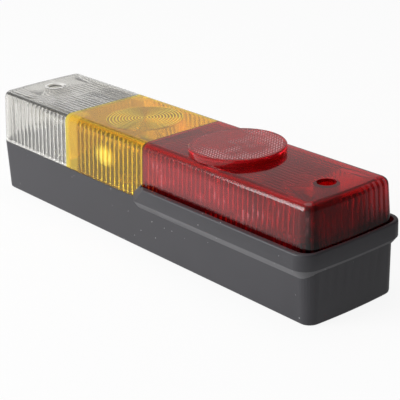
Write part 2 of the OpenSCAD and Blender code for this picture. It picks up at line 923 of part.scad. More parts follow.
// Terminal block, with a brass clamp and a screw in each of its channels
clamp_roof = 2;
clamp_l = 1.4 * clamp_w;
clamp_screw_r = 1.45;
clamp_head_r = 2.1;
head_drop = 3;

module at_clamps() {
    for (i = [0 : clamps - 1]) {
        translate([terminal_x, clamp_y(i), 0]) children();
    }
}

module terminal_block() {
    channel_w = clamp_w + loose_gap;
    color([0.85, 0.85, 0.8]) difference() {
        translate([terminal_x - terminal_l / 2, -clamps * clamp_pitch / 2, floor_t]) {
            cube([terminal_l, clamps * clamp_pitch, terminal_h]);
        }
        at_clamps() {
            translate([-terminal_l, -channel_w / 2, 0]) cube([2 * terminal_l, channel_w, floor_t + clamp_h]);
            cylinder(r = clamp_head_r + loose_gap, h = far, $fn = small_fn);
        }
    }
}

module terminal_clamps() {
    slot_w = strip_w + 2 * strip_gap;
    color(brass) at_clamps() translate([0, 0, floor_t]) difference() {
        translate([-clamp_l / 2, -clamp_w / 2, 0]) cube([clamp_l, clamp_w, clamp_h]);
        translate([-clamp_l, -slot_w / 2, -eps]) cube([2 * clamp_l, slot_w, clamp_h - clamp_roof + eps]);
        cylinder(r = clamp_screw_r + grip_gap, h = far, $fn = small_fn);
    }
}

module terminal_screws() {
    screw_h = terminal_h - head_drop;
    slot_w = 0.6;
    color(steel) at_clamps() translate([0, 0, strip_top]) difference() {
        union() {
            cylinder(r = clamp_screw_r, h = screw_h, $fn = small_fn);
            translate([0, 0, clamp_h]) cylinder(r = clamp_head_r, h = screw_h - clamp_h + 1, $fn = small_fn);
        }
        translate([-far / 2, -slot_w / 2, screw_h]) cube([far, slot_w, far]);
    }
}

// Grommet: a spigot in the floor's hole, a flange above the floor and a sleeve for the cable
flange_h = 1.6;
sleeve_h = 3;
sleeve_t = 1.6;

module cable_grommet() {
    color(rubber) translate([cable_x, 0, floor_t]) difference() {
        union() {
            translate([0, 0, relief_d - floor_t]) {
                cylinder(r = grommet_hole_r - loose_gap, h = floor_t - relief_d + eps);
            }
            cylinder(r = grommet_r, h = flange_h);
            cylinder(r = cable_r + sleeve_t, h = flange_h + sleeve_h);
        }
        translate([0, 0, -far / 2]) cylinder(r = cable_r, h = far);
    }
}

housing();
clear_lens();
amber_lens();
red_lens();
reflex_reflector();
lens_seal();
lens_screws();
screw_washers();
reversing_holder();
indicator_holder();
stop_holder();
reversing_bulb();
indicator_bulb();
stop_bulb();
contact_discs();
contact_springs();
contact_pins();
holder_screws();
reversing_strip();
indicator_strip();
stop_strip();
tail_strip();
earth_strip();
terminal_block();
terminal_clamps();
terminal_screws();
cable_grommet();
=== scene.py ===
import math

import bmesh
import bpy
from mathutils import Matrix, Vector


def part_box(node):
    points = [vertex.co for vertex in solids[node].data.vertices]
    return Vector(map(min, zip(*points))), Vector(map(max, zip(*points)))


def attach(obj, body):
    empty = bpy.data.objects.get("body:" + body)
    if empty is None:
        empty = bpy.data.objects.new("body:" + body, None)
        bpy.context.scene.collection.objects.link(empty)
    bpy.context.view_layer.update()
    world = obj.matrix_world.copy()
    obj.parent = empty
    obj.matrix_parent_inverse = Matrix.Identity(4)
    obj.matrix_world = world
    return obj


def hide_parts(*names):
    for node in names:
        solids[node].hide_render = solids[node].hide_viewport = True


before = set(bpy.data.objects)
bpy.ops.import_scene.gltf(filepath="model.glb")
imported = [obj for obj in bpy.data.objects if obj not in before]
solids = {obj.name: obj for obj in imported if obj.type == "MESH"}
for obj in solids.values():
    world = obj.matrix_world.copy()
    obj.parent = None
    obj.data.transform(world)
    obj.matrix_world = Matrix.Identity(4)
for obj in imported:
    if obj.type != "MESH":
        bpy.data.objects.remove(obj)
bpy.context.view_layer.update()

# Camera, at the place from which the photograph was taken: the perspective was worked out
# from the lamp's straight edges. The lens is a long one, without shift.
MM = 0.001
camera_aim = Vector((35.7, -11.2, 35.0)) * MM
camera_distance = 0.7594
camera_azimuth, camera_elevation, camera_roll = map(math.radians, (51.17, 21.68, -2.33))
camera_lens, nearest_seen = 115.1, 0.01

look_back = Vector((
    math.sin(camera_azimuth) * math.cos(camera_elevation),
    -math.cos(camera_azimuth) * math.cos(camera_elevation),
    math.sin(camera_elevation),
))
level_right = Vector((math.cos(camera_azimuth), math.sin(camera_azimuth), 0))
level_up = look_back.cross(level_right)
rolled_right = level_right * math.cos(camera_roll) + level_up * math.sin(camera_roll)
rolled_up = level_up * math.cos(camera_roll) - level_right * math.sin(camera_roll)
camera = bpy.data.objects.new("camera", bpy.data.cameras.new("camera"))
camera.data.lens = camera_lens
camera.data.clip_start = nearest_seen
turn = Matrix((rolled_right, rolled_up, look_back)).transposed().to_4x4()
camera.matrix_world = Matrix.Translation(camera_aim + look_back * camera_distance) @ turn
bpy.context.scene.collection.objects.link(camera)
bpy.context.scene.camera = camera
bpy.context.scene.view_settings.view_transform = "Standard"


# Housing: one moulding of black ABS with a satin face, which carries everything else.
# It has crowned end walls and a raised collar round the red end, whose slanted underside is
# painted paler: a painted sheen for the light it takes from below. It leaves the mould with a
# fine grain, and handling leaves pale specks on it.
class Shade:
    """A socket of a finish. Sums and products on it add Math nodes."""

    def __init__(self, finish, socket):
        self.finish, self.socket = finish, socket

    def math(self, operation, *values):
        return self.finish.node("ShaderNodeMath", {"operation": operation}, dict(enumerate(values)))

    def __add__(self, other):
        return self.math("ADD", self, other)

    def __sub__(self, other):
        return self.math("SUBTRACT", self, other)

    def __rsub__(self, other):
        return self.math("SUBTRACT", other, self)

    def __mul__(self, other):
        return self.math("MULTIPLY", self, other)

    def __truediv__(self, other):
        return self.math("DIVIDE", self, other)

    def __abs__(self):
        return self.math("ABSOLUTE", self)

    def __gt__(self, other):
        return self.math("GREATER_THAN", self, other)

    def __lt__(self, other):
        return self.math("LESS_THAN", self, other)

    __radd__ = __add__
    __rmul__ = __mul__


class Tree:
    """A node tree, made node by node."""

    def wire(self, node, values):
        for key, value in values.items():
            for one in value if isinstance(value, list) else [value]:
                if isinstance(one, Shade):
                    self.tree.links.new(one.socket, node.inputs[key])
                else:
                    node.inputs[key].default_value = one

    def node(self, kind, settings=None, values=None, output=0):
        made = self.tree.nodes.new(kind)
        for key, value in (settings or {}).items():
            setattr(made, key, value)
        self.wire(made, values or {})
        return Shade(self, made.outputs[output])

    def place(self):
        return self.node("ShaderNodeTexCoord", output="Object")


class Finish(Tree):
    """A material whose constants are set on its surface shader and whose pattern is wired to it."""

    def __init__(self, name, **constants):
        self.material = bpy.data.materials.new(name)
        self.material.use_nodes = True
        self.tree = self.material.node_tree
        self.surface = self.tree.nodes["Principled BSDF"]
        self.output = self.tree.nodes["Material Output"]
        self.wire(self.surface, {key.replace("_", " "): value for key, value in constants.items()})

    def upright(self):
        """1 on faces that look up, 0 on upright walls and -1 on faces that look down."""
        facing = self.node("ShaderNodeNewGeometry", output="True Normal")
        return self.node("ShaderNodeSeparateXYZ", {}, {0: facing}, 2)

    def noise(self, scale, detail=2.0, distortion=0.0):
        values = {"Vector": self.place(), "Scale": scale, "Detail": detail, "Distortion": distortion}
        return self.node("ShaderNodeTexNoise", {}, values)

    def specks(self, scale, size, share):
        """1 on small round specks: size is their radius in cells, share how many cells have one."""
        cells = self.tree.nodes.new("ShaderNodeTexVoronoi")
        self.wire(cells, {"Vector": self.place(), "Scale": scale})
        chance = self.node("ShaderNodeSeparateColor", {}, {0: Shade(self, cells.outputs["Color"])})
        return (Shade(self, cells.outputs["Distance"]) < size) * (chance < share)

    def blend(self, factor, low, high):
        settings = {"data_type": "RGBA", "clamp_factor": True}
        return self.node("ShaderNodeMix", settings, {0: factor, 6: low, 7: high}, 2)

    def bump(self, height, distance, strength=1.0):
        values = {"Height": height, "Distance": distance, "Strength": strength}
        return self.node("ShaderNodeBump", {}, values)


gentle_crease, merge_distance = 38, 0.001 * MM


def stands_for(piece, *names):
    """The piece rides with the lamp and takes the place of these solids, which are hidden."""
    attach(piece, "root")
    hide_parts(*names)


def linked(name, mesh, finish):
    mesh.materials.clear()
    mesh.materials.append(finish.material)
    piece = bpy.data.objects.new(name, mesh)
    bpy.context.scene.collection.objects.link(piece)
    return piece


def evaluated_mesh(piece):
    """Turns the piece's modifiers into its mesh."""
    scene_graph = bpy.context.evaluated_depsgraph_get()
    mesh = bpy.data.meshes.new_from_object(piece.evaluated_get(scene_graph), depsgraph=scene_graph)
    piece.modifiers.clear()
    piece.data = mesh


def soften(piece, crease=gentle_crease):
    """Merges the piece's mesh and smooths it over its rounded edges. Flat faces stay flat."""
    form = bmesh.new()
    form.from_mesh(piece.data)
    bmesh.ops.remove_doubles(form, verts=form.verts, dist=merge_distance)
    for face in form.faces:
        face.smooth = True
    for edge in form.edges:
        edge.smooth = edge.is_manifold and edge.calc_face_angle() < math.radians(crease)
    form.to_mesh(piece.data)
    form.free()
    weigh = piece.modifiers.new("flat faces", "WEIGHTED_NORMAL")
    weigh.mode = "FACE_AREA_WITH_ANGLE"
    weigh.keep_sharp = True
    evaluated_mesh(piece)


def smooth_copy(solid, name, finish):
    """A copy of a solid that stands for it, with a finish of its own."""
    piece = linked(name, solids[solid].data.copy(), finish)
    soften(piece)
    stands_for(piece, solid)


charcoal = Finish("satin charcoal ABS", Specular_IOR_Level=0.35)
grain = charcoal.noise(1600, 3)
handling = charcoal.noise(28, 4, 0.6)
pale_specks = charcoal.specks(420, 0.15, 0.05)
body_colour = charcoal.blend(handling, (0.033, 0.032, 0.037, 1), (0.050, 0.049, 0.055, 1))
below_the_collar, slanted_down = 20 * MM, -0.35
height = charcoal.node("ShaderNodeSeparateXYZ", {}, {0: charcoal.place()}, 2)
# Painted sheen: the collar's slanted underside is painted paler, for the light it takes from the floor below.
under_collar = (charcoal.upright() < slanted_down) * (height > below_the_collar)
underside_painted_sheen = charcoal.blend(under_collar, body_colour, (0.105, 0.104, 0.11, 1))
charcoal.wire(charcoal.surface, {
    "Base Color": charcoal.blend(pale_specks, underside_painted_sheen, (0.34, 0.34, 0.35, 1)),
    "Roughness": 0.34 + 0.18 * handling,
    "Normal": charcoal.bump(grain, 0.02 * MM, 0.6),
})
smooth_copy("housing", "housing_moulding", charcoal)


# Rubber parts: the seal in the housing's rim, the grommet in its floor and the washers under
# the lens screws are moulded in black rubber, dull and faintly dusty.
black_rubber = Finish("black rubber", Specular_IOR_Level=0.3)
bloom = black_rubber.noise(90, 3)
black_rubber.wire(black_rubber.surface, {
    "Base Color": black_rubber.blend(bloom, (0.018, 0.018, 0.018, 1), (0.04, 0.04, 0.042, 1)),
    "Roughness": 0.62 + 0.2 * bloom,
    "Normal": black_rubber.bump(black_rubber.noise(2400, 2), 0.015 * MM),
})
for rubber_part in ("lens_seal", "cable_grommet", "screw_washers"):
    smooth_copy(rubber_part, rubber_part + "_moulding", black_rubber)


# Strips, clamps and contact pins: sheet brass, cut and folded, and headed brass pins. The
# strips run from the terminal block's clamps to the contacts. All are a little tarnished.
rolled_brass = Finish("rolled brass", Metallic=1.0)
tarnish = rolled_brass.noise(60, 4)
rolled_brass.wire(rolled_brass.surface, {
    "Base Color": rolled_brass.blend(tarnish, (0.62, 0.43, 0.18, 1), (0.78, 0.6, 0.3, 1)),
    "Roughness": 0.25 + 0.25 * tarnish,
    "Normal": rolled_brass.bump(rolled_brass.noise(1800, 2), 0.004 * MM),
})
for brass_part in ("reversing_strip", "indicator_strip", "stop_strip", "tail_strip", "earth_strip"):
    smooth_copy(brass_part, brass_part + "_sheet", rolled_brass)
smooth_copy("terminal_clamps", "terminal_clamps_brass", rolled_brass)
smooth_copy("contact_pins", "contact_pins_brass", rolled_brass)


# Terminal block: a white moulded block with a channel for each clamp, slightly yellowed. It
# stands on the housing's floor, over the ends of the strips.
white_plastic = Finish("white moulded plastic", Specular_IOR_Level=0.45)
ageing = white_plastic.noise(70, 3)
white_plastic.wire(white_plastic.surface, {
    "Base Color": white_plastic.blend(ageing, (0.66, 0.65, 0.6, 1), (0.78, 0.78, 0.74, 1)),
    "Roughness": 0.4 + 0.15 * ageing,
    "Normal": white_plastic.bump(white_plastic.noise(1500, 2), 0.01 * MM),
})
smooth_copy("terminal_block", "terminal_block_moulding", white_plastic)


# Steel parts: the bulb holders are drawn from zinc-plated sheet, and the screws that hold
# them and the wires are plated too. The plating is bright, with soft clouds and a fine grain.
plated_steel = Finish("zinc-plated steel", Metallic=1.0)
plating = plated_steel.noise(120, 4, 0.8)
plated_steel.wire(plated_steel.surface, {
    "Base Color": plated_steel.blend(plating, (0.55, 0.56, 0.57, 1), (0.78, 0.78, 0.77, 1)),
    "Roughness": 0.2 + 0.25 * plating,
    "Normal": plated_steel.bump(plated_steel.noise(2600, 2), 0.004 * MM),
})
for steel_part in ("reversing_holder", "indicator_holder", "stop_holder", "holder_screws", "terminal_screws"):
    smooth_copy(steel_part, steel_part + "_steel", plated_steel)


# Contact springs: four short coils of round steel wire. Each one stands on a brass strip and
# presses a contact pin up against the tip of its bulb.
class Form(Tree):
    """A Geometry Nodes tree with named sizes and places. Its result becomes a plain mesh."""

    def __init__(self, name, **sizes):
        self.sizes = sizes
        self.tree = bpy.data.node_groups.new(name, "GeometryNodeTree")
        self.tree.interface.new_socket("Result", in_out="OUTPUT", socket_type="NodeSocketGeometry")
        self.tree.interface.new_socket("places", in_out="INPUT", socket_type="NodeSocketGeometry")
        for label, size in sizes.items():
            kind = "NodeSocketInt" if isinstance(size, int) else "NodeSocketFloat"
            self.tree.interface.new_socket(label, in_out="INPUT", socket_type=kind)
        self.entry = self.tree.nodes.new("NodeGroupInput")

    def __getitem__(self, label):
        return Shade(self, self.entry.outputs[label])

    def vector(self, x=0.0, y=0.0, z=0.0):
        return self.node("ShaderNodeCombineXYZ", {}, {0: x, 1: y, 2: z})

    def moved(self, geometry, offset, turned=(0.0, 0.0, 0.0)):
        values = {"Geometry": geometry, "Translation": offset, "Rotation": turned}
        return self.node("GeometryNodeTransform", {}, values)

    def joined(self, *parts):
        return self.node("GeometryNodeJoinGeometry", {}, {0: list(parts)})

    def boolean(self, operation, *parts):
        """Cuts, joins or intersects closed meshes. For a cut the first part is the one that is cut."""
        values = {1: list(parts)} if operation != "DIFFERENCE" else {0: parts[0], 1: list(parts[1:])}
        return self.node("GeometryNodeMeshBoolean", {"operation": operation, "solver": "EXACT"}, values)

    def coil(self, turns, radius, height, wire, steps):
        """Round wire wound into a coil that stands on z = 0."""
        path = self.node("GeometryNodeCurveSpiral", {}, {
            "Resolution": steps, "Rotations": turns, "Start Radius": radius, "End Radius": radius,
            "Height": height - 2 * wire})
        section = self.node("GeometryNodeCurvePrimitiveCircle", {}, {"Resolution": 8, "Radius": wire})
        values = {"Curve": path, "Profile Curve": section, "Fill Caps": True}
        return self.moved(self.node("GeometryNodeCurveToMesh", {}, values), self.vector(z=wire))

    def cylinder(self, radius, height, foot=0.0, sides=32):
        """An upright cylinder that stands at a height."""
        values = {"Vertices": sides, "Radius": radius, "Depth": height}
        middle = self.vector(z=0.5 * height + foot)
        return self.moved(self.node("GeometryNodeMeshCylinder", {}, values, "Mesh"), middle)

    def chamfered(self, radius, height, edge, sides=32):
        """An upright cylinder on z = 0 whose upper edge is chamfered."""
        values = {"Vertices": sides, "Radius Top": radius - edge, "Radius Bottom": radius, "Depth": edge}
        rim = self.moved(self.node("GeometryNodeMeshCone", {}, values, "Mesh"), self.vector(z=height - edge))
        return self.boolean("UNION", self.cylinder(radius, height - edge, sides=sides), rim)

    def end(self, part, finish):
        """Puts the part at each place, makes real meshes of them and gives them their finish."""
        copies = self.node("GeometryNodeInstanceOnPoints", {}, {"Points": self["places"], "Instance": part})
        real = self.node("GeometryNodeRealizeInstances", {}, {0: copies})
        dressed = self.node("GeometryNodeSetMaterial", {}, {"Geometry": real, "Material": finish.material})
        self.wire(self.tree.nodes.new("NodeGroupOutput"), {0: dressed})

    def piece(self, name, places, crease=gentle_crease):
        marks = bpy.data.meshes.new(name)
        marks.from_pydata(list(places), [], [])
        made = bpy.data.objects.new(name, marks)
        bpy.context.scene.collection.objects.link(made)
        modifier = made.modifiers.new(name, "NODES")
        modifier.node_group = self.tree
        for socket in self.tree.interface.items_tree:
            if socket.name in self.sizes:
                modifier[socket.identifier] = self.sizes[socket.name]
        evaluated_mesh(made)
        while made.data.materials[0] is None:
            made.data.materials.pop(index=0)
        soften(made, crease)
        return made


spring_low, spring_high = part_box("contact_springs")
bulb_names = ("reversing_bulb", "indicator_bulb", "stop_bulb")
bulb_places = [sum(corner[0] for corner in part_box(bulb)) / 2 for bulb in bulb_names]
spring_radius, spring_wire = 2.4 * MM, 0.3 * MM
contact_side = spring_high[1] - spring_radius - spring_wire
contact_places = [(x, 0, spring_low[2]) for x in bulb_places[:2]]
contact_places += [(bulb_places[2], side * contact_side, spring_low[2]) for side in (-1, 1)]
springs = Form("contact springs", turns=4.0, radius=spring_radius, wire=spring_wire,
               height=spring_high[2] - spring_low[2], steps=40)
coil = springs.coil(springs["turns"], springs["radius"], springs["height"], springs["wire"], springs["steps"])
springs.end(coil, plated_steel)
stands_for(springs.piece("contact_springs_wire", contact_places), "contact_springs")


# Contact discs: insulating discs punched from brown fibre board, whose short fibres show.
# They lie on the feet of the pins under each bulb.
fibre_board = Finish("brown fibre board", Specular_IOR_Level=0.2)
fibres = fibre_board.noise(700, 4)
fibre_board.wire(fibre_board.surface, {
    "Base Color": fibre_board.blend(fibres, (0.17, 0.08, 0.035, 1), (0.3, 0.16, 0.08, 1)),
    "Roughness": 0.7 + 0.2 * fibres,
    "Normal": fibre_board.bump(fibres, 0.02 * MM),
})
smooth_copy("contact_discs", "contact_discs_board", fibre_board)


# Bulbs: a thin blown glass, cemented into a drawn metal cap with two bayonet pins and lead
# tips. Inside, a coiled tungsten filament hangs between two wires that a bead joins.
turning_steps = 64


def turned(name, profile, finish, centre):
    """A turned piece. Its profile of radii and heights runs closed, or from pole to pole."""
    form = bmesh.new()
    rings = []
    for radius, height in profile:
        count = turning_steps if radius > 0 else 1
        ring = []
        for k in range(count):
            angle = 2 * math.pi * k / count
            offset = Vector((radius * math.cos(angle), radius * math.sin(angle), height))
            ring.append(form.verts.new(Vector(centre) + offset))
        rings.append(ring)
    closed = profile[0][0] > 0
    for low, high in zip(rings, rings[1:] + rings[:1] if closed else rings[1:]):
        for k in range(turning_steps if len(low) + len(high) > 2 else 0):
            corners = [low[k % len(low)], low[(k + 1) % len(low)]]
            corners += [high[(k + 1) % len(high)], high[k % len(high)]]
            form.faces.new(list(dict.fromkeys(corners)))
    bmesh.ops.recalc_face_normals(form, faces=form.faces)
    mesh = bpy.data.meshes.new(name)
    form.to_mesh(mesh)
    form.free()
    piece = linked(name, mesh, finish)
    soften(piece)
    return piece


bulb_glass = Finish("bulb glass", IOR=1.45, Transmission_Weight=1.0)
bulb_glass.wire(bulb_glass.surface, {
    "Base Color": (0.96, 0.97, 0.97, 1),
    "Roughness": 0.02 + 0.03 * bulb_glass.noise(200, 2),
})
cap_metal = Finish("drawn cap metal", Metallic=1.0)
drawing = cap_metal.noise(150, 4, 0.4)
cap_metal.wire(cap_metal.surface, {
    "Base Color": cap_metal.blend(drawing, (0.66, 0.6, 0.46, 1), (0.82, 0.76, 0.6, 1)),
    "Roughness": 0.22 + 0.2 * drawing,
    "Normal": cap_metal.bump(cap_metal.noise(2200, 2), 0.004 * MM),
})
tungsten = Finish("tungsten wire", Metallic=1.0)
tungsten.wire(tungsten.surface, {
    "Base Color": (0.35, 0.34, 0.33, 1),
    "Roughness": 0.3 + 0.2 * tungsten.noise(900, 2),
})
cap_radius, cap_length, tip_height = 7.5 * MM, 15 * MM, 1 * MM
glass_wall, glass_seat, neck_radius = 0.6 * MM, 3 * MM, 6.7 * MM
pin_up, pin_radius, pin_reach, tip_radius = 6 * MM, 1 * MM, 9.1 * MM, 1.8 * MM
dome_steps, neck_steps, neck_angle, neck_bend = 24, 10, math.radians(-35), 0.3


def glass_profile(radius, centre_height, inset):
    """Half of the glass, from the neck in the cap over the dome to the pole."""
    out = radius - inset
    dome = [neck_angle + (math.pi / 2 - neck_angle) * k / dome_steps for k in range(dome_steps)]
    points = [(out * math.cos(a), centre_height + out * math.sin(a)) for a in dome]
    foot = (neck_radius - inset, cap_length - glass_seat + inset)
    bend = (neck_radius - inset, cap_length + neck_bend * (points[0][1] - cap_length))
    neck = []
    for k in range(neck_steps):
        t = k / neck_steps
        shares = ((1 - t) ** 2, 2 * t * (1 - t), t * t)
        neck.append(tuple(sum(map(math.prod, zip(shares, places))) for places in zip(foot, bend, points[0])))
    return neck + points + [(0, centre_height + out)]


bulb_low, bulb_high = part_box(bulb_names[0])
bulb_radius = (bulb_high[0] - bulb_low[0]) / 2
cap_foot = bulb_low[2] + tip_height
dome_height = bulb_high[2] - bulb_radius - cap_foot
filament = Form("filament", turns=14.0, radius=0.55 * MM, wire=0.09 * MM, span=7 * MM, lead=0.35 * MM,
                rise=dome_height - cap_length + glass_seat, bead=1.6 * MM)
winding = filament.moved(
    filament.coil(filament["turns"], filament["radius"], filament["span"], filament["wire"], 14),
    filament.vector(filament["span"] * -0.5, 0.0, filament["rise"]), (0.0, math.pi / 2, 0.0))
lead_wire = filament.cylinder(filament["lead"], filament["rise"] + filament["radius"], sides=10)
lead_wires = [filament.moved(lead_wire, filament.vector(filament["span"] * side)) for side in (-0.5, 0.5)]
bead_height = filament.vector(z=filament["rise"] * 0.4)
bead = filament.moved(filament.node("GeometryNodeMeshUVSphere", {}, {
    "Segments": 20, "Rings": 12, "Radius": filament["bead"]}, "Mesh"), bead_height)
bead_wire = filament.moved(filament.node("GeometryNodeMeshCylinder", {}, {
    "Vertices": 10, "Radius": filament["lead"], "Depth": filament["span"]}, "Mesh"),
    bead_height, (0.0, math.pi / 2, 0.0))
filament.end(filament.joined(winding, *lead_wires, bead, bead_wire), tungsten)

cap_pins = Form("cap pins", radius=pin_radius, reach=pin_reach, up=pin_up)
crossed = cap_pins.node("GeometryNodeMeshCylinder", {}, {
    "Vertices": 24, "Radius": cap_pins["radius"], "Depth": cap_pins["reach"] * 2.0}, "Mesh")
cap_pins.end(cap_pins.moved(crossed, cap_pins.vector(z=cap_pins["up"]), (0.0, math.pi / 2, 0.0)), cap_metal)
lead_tip = Form("lead tips", radius=tip_radius, height=tip_height)
lead_tip.end(lead_tip.node("GeometryNodeTransform", {}, {
    "Geometry": lead_tip.node("GeometryNodeMeshUVSphere", {}, {
        "Segments": 24, "Rings": 16, "Radius": lead_tip["radius"]}, "Mesh"),
    "Scale": lead_tip.vector(1.0, 1.0, lead_tip["height"] / lead_tip["radius"])}), plated_steel)

rim_out, cap_edge, tip_crease = 0.25 * MM, 0.8 * MM, 60
seat_radius = neck_radius + 0.1 * MM
cap_profile = [(0, 0), (cap_radius - cap_edge, 0), (cap_radius - rim_out, cap_edge),
               (cap_radius - rim_out, cap_length - cap_edge), (cap_radius, cap_length - cap_edge / 2),
               (cap_radius - rim_out, cap_length), (seat_radius, cap_length),
               (seat_radius, cap_length - glass_seat), (0, cap_length - glass_seat)]
for bulb, x in zip(bulb_names, bulb_places):
    foot = (x, 0, cap_foot)
    outside, inside = (glass_profile(bulb_radius, dome_height, inset) for inset in (0, glass_wall))
    tips = [-contact_side, contact_side] if bulb == "stop_bulb" else [0]
    glass_foot = (x, 0, cap_foot + cap_length - glass_seat)
    for piece in (
        turned(bulb + "_glass", outside + inside[::-1], bulb_glass, foot),
        turned(bulb + "_cap", cap_profile, cap_metal, foot),
        cap_pins.piece(bulb + "_pins", [foot]),
        lead_tip.piece(bulb + "_tips", [(x, y, cap_foot) for y in tips], tip_crease),
        filament.piece(bulb + "_filament", [glass_foot]),
    ):
        stands_for(piece, bulb)


# Lens: three sections of moulded acrylic, clear, amber and red, welded edge to edge. The
# outside is smooth and glossy, and flutes, ribs and rings on the inside spread the light.
def along(finish, axis):
    """The place along X (0), Y (1) or Z (2)."""
    return finish.node("ShaderNodeSeparateXYZ", {}, {0: finish.place()}, axis)


def flat_at(finish, axis, level):
    """1 on the flat faces at one level along an axis."""
    place = along(finish, axis)
    return place.math("COMPARE", place, level, 0.02 * MM)


def away_from(finish, point, scale):
    """The distance from a point. A scale of 0 leaves that axis out."""
    scaled = finish.node("ShaderNodeVectorMath", {"operation": "MULTIPLY"}, {0: finish.place(), 1: scale})
    goal = tuple(place * size for place, size in zip(point, scale))
    return finish.node("ShaderNodeVectorMath", {"operation": "DISTANCE"}, {0: scaled, 1: goal}, "Value")


def away_from_axis(finish, x):
    """The distance from the upright axis at x on the lamp's middle line."""
    return away_from(finish, (x, 0, 0), (1, 1, 0))


def from_line(place, pitch):
    """How far a place is from a row of lines: 0 on a line and 1 midway between two."""
    return place.math("PINGPONG", place, pitch / 2) * (2 / pitch)


def rise(value, low, high):
    """0 at low and 1 at high, with a soft change between them."""
    values = {"Value": value, "From Min": low, "From Max": high}
    return value.finish.node("ShaderNodeMapRange", {"interpolation_type": "SMOOTHSTEP"}, values)


painted_shade_share = 0.03


def lens_plastic(name, colour, deep, clearness, welds, painted_glint_mask, painted_glint_colour, painted_shade_mask=None, dull_edge=0.0):
    """See-through plastic of one colour. Its shadow is coloured, so that light reaches the inside.
    Where two mouldings are welded their faces vanish, because the plastic runs on there. Where
    one mask says so it is mixed with a lit diffuse surface of another colour, a painted highlight,
    and where another says so its colour is darkened into painted shade.
    The rounded edges can be duller than the rest."""
    plastic = Finish(name, IOR=1.49, Transmission_Weight=clearness)
    haze = plastic.noise(45, 4, 0.5)
    shades = plastic.blend(haze, deep, colour)
    # Painted shade: the colour is darkened where the shade mask says so.
    if painted_shade_mask:
        painted_shade_colour = tuple(painted_shade_share * part for part in colour[:3]) + (1,)
        shades = plastic.blend(painted_shade_mask(plastic), shades, painted_shade_colour)
    upright = plastic.upright()
    rounded_edge = (upright > 0.2) * (upright < 0.97)
    plastic.wire(plastic.surface, {
        "Base Color": shades,
        "Roughness": 0.03 + 0.06 * haze + dull_edge * rounded_edge,
        "Normal": plastic.bump(plastic.noise(260, 2), 0.01 * MM, 0.5),
        "Alpha": 1 - welds(plastic),
    })
    body = Shade(plastic, plastic.surface.outputs[0])
    # Painted highlights: a lit diffuse surface of another colour where the glint mask says so.
    painted_glint_surface = plastic.node("ShaderNodeBsdfDiffuse", {}, {"Color": painted_glint_colour})
    painted_glint_share = painted_glint_mask(plastic) * (1 - welds(plastic))
    body = plastic.node("ShaderNodeMixShader", {}, {0: painted_glint_share, 1: body, 2: painted_glint_surface})
    through = plastic.node("ShaderNodeBsdfTransparent", {}, {"Color": colour})
    shadow_ray = plastic.node("ShaderNodeLightPath", output="Is Shadow Ray")
    mixed = plastic.node("ShaderNodeMixShader", {}, {0: shadow_ray, 1: body, 2: through})
    plastic.wire(plastic.output, {"Surface": mixed})
    return plastic


clear_joint, red_joint = (corner[0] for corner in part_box("amber_lens"))
reflector_low, reflector_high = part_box("reflex_reflector")
reflector_centre = ((reflector_low[0] + reflector_high[0]) / 2, 0, reflector_low[2])
reflector_radius = (reflector_high[0] - reflector_low[0]) / 2
reflector_wall = 2 * MM
lens_foot, lens_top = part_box("amber_lens")[0][2], reflector_low[2]
lens_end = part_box("red_lens")[1][0]
screw_low, screw_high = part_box("lens_screws")
screw_head_radius = 4.2 * MM
screw_out = screw_high[0] - screw_head_radius
well_radius, well_wall, roof_wall = 5.5 * MM, 1.8 * MM, 2.4 * MM
flute_pitch, rib_pitch, red_flute_pitch, ring_pitch = 4.5 * MM, 3 * MM, 4 * MM, 2 * MM
# The clear roof's ribs begin softly, between these two distances from the well's axis.
rib_start = (14 * MM, 26 * MM)
# A face is told by its place. The roof's outside is within the skin of the lens's top, and the
# long walls lie further than long_wall from the middle line.
skin, long_wall = 0.1 * MM, 26 * MM
roof_face = lens_top - skin


def end_welds(finish):
    """The faces on which one section meets the next."""
    return flat_at(finish, 0, clear_joint) + flat_at(finish, 0, red_joint)


def reflector_welds(finish):
    """The ring on the lens's top where the reflector's wall stands, on either piece."""
    out = away_from_axis(finish, reflector_centre[0])
    ring = (out < reflector_radius) * (out > reflector_radius - reflector_wall)
    return ring * flat_at(finish, 2, reflector_centre[2])


def clear_painted_highlights(finish):
    """Painted highlights on the clear lens: pale patches on the well's rim, its ribs, its flutes and its
    foot.
    """
    x, y, z = (along(finish, axis) for axis in range(3))
    out = away_from_axis(finish, -screw_out)
    ring = (out > well_radius - skin) * (out < well_radius + well_wall)
    rim = ring * (z > lens_top - 1.2 * MM) * rise(finish.noise(160, 2), 0.25, 0.5)
    ribs = (z > roof_face) * (from_line(y, rib_pitch) > 0.7)
    ribs *= rise(out, *rib_start) * rise(y, 16 * MM, -12 * MM)
    walls = (abs(y) > long_wall) * (z < lens_top - 6 * MM)
    flutes = (from_line(x, flute_pitch) > 0.7) * rise(finish.noise(90, 2), 0.3, 0.6)
    foot = z < lens_foot + 1.2 * MM
    return 0.75 * rim + 0.3 * ribs + walls * (0.12 * flutes + 0.22 * foot)


def clear_painted_shade(finish):
    """Painted shade: fine dark lines beside the ribs under the clear roof, away from the well, darker on the
    near side.
    """
    y, z = along(finish, 1), along(finish, 2)
    beside_ribs = from_line(y, rib_pitch) < 0.42
    rib_height = 1 * MM
    roof = (z > lens_top - roof_wall - rib_height) * (z < roof_face)
    near_side = 0.35 + 0.6 * rise(y, 8 * MM, -12 * MM)
    return near_side * beside_ribs * roof * rise(away_from_axis(finish, -screw_out), *rib_start)


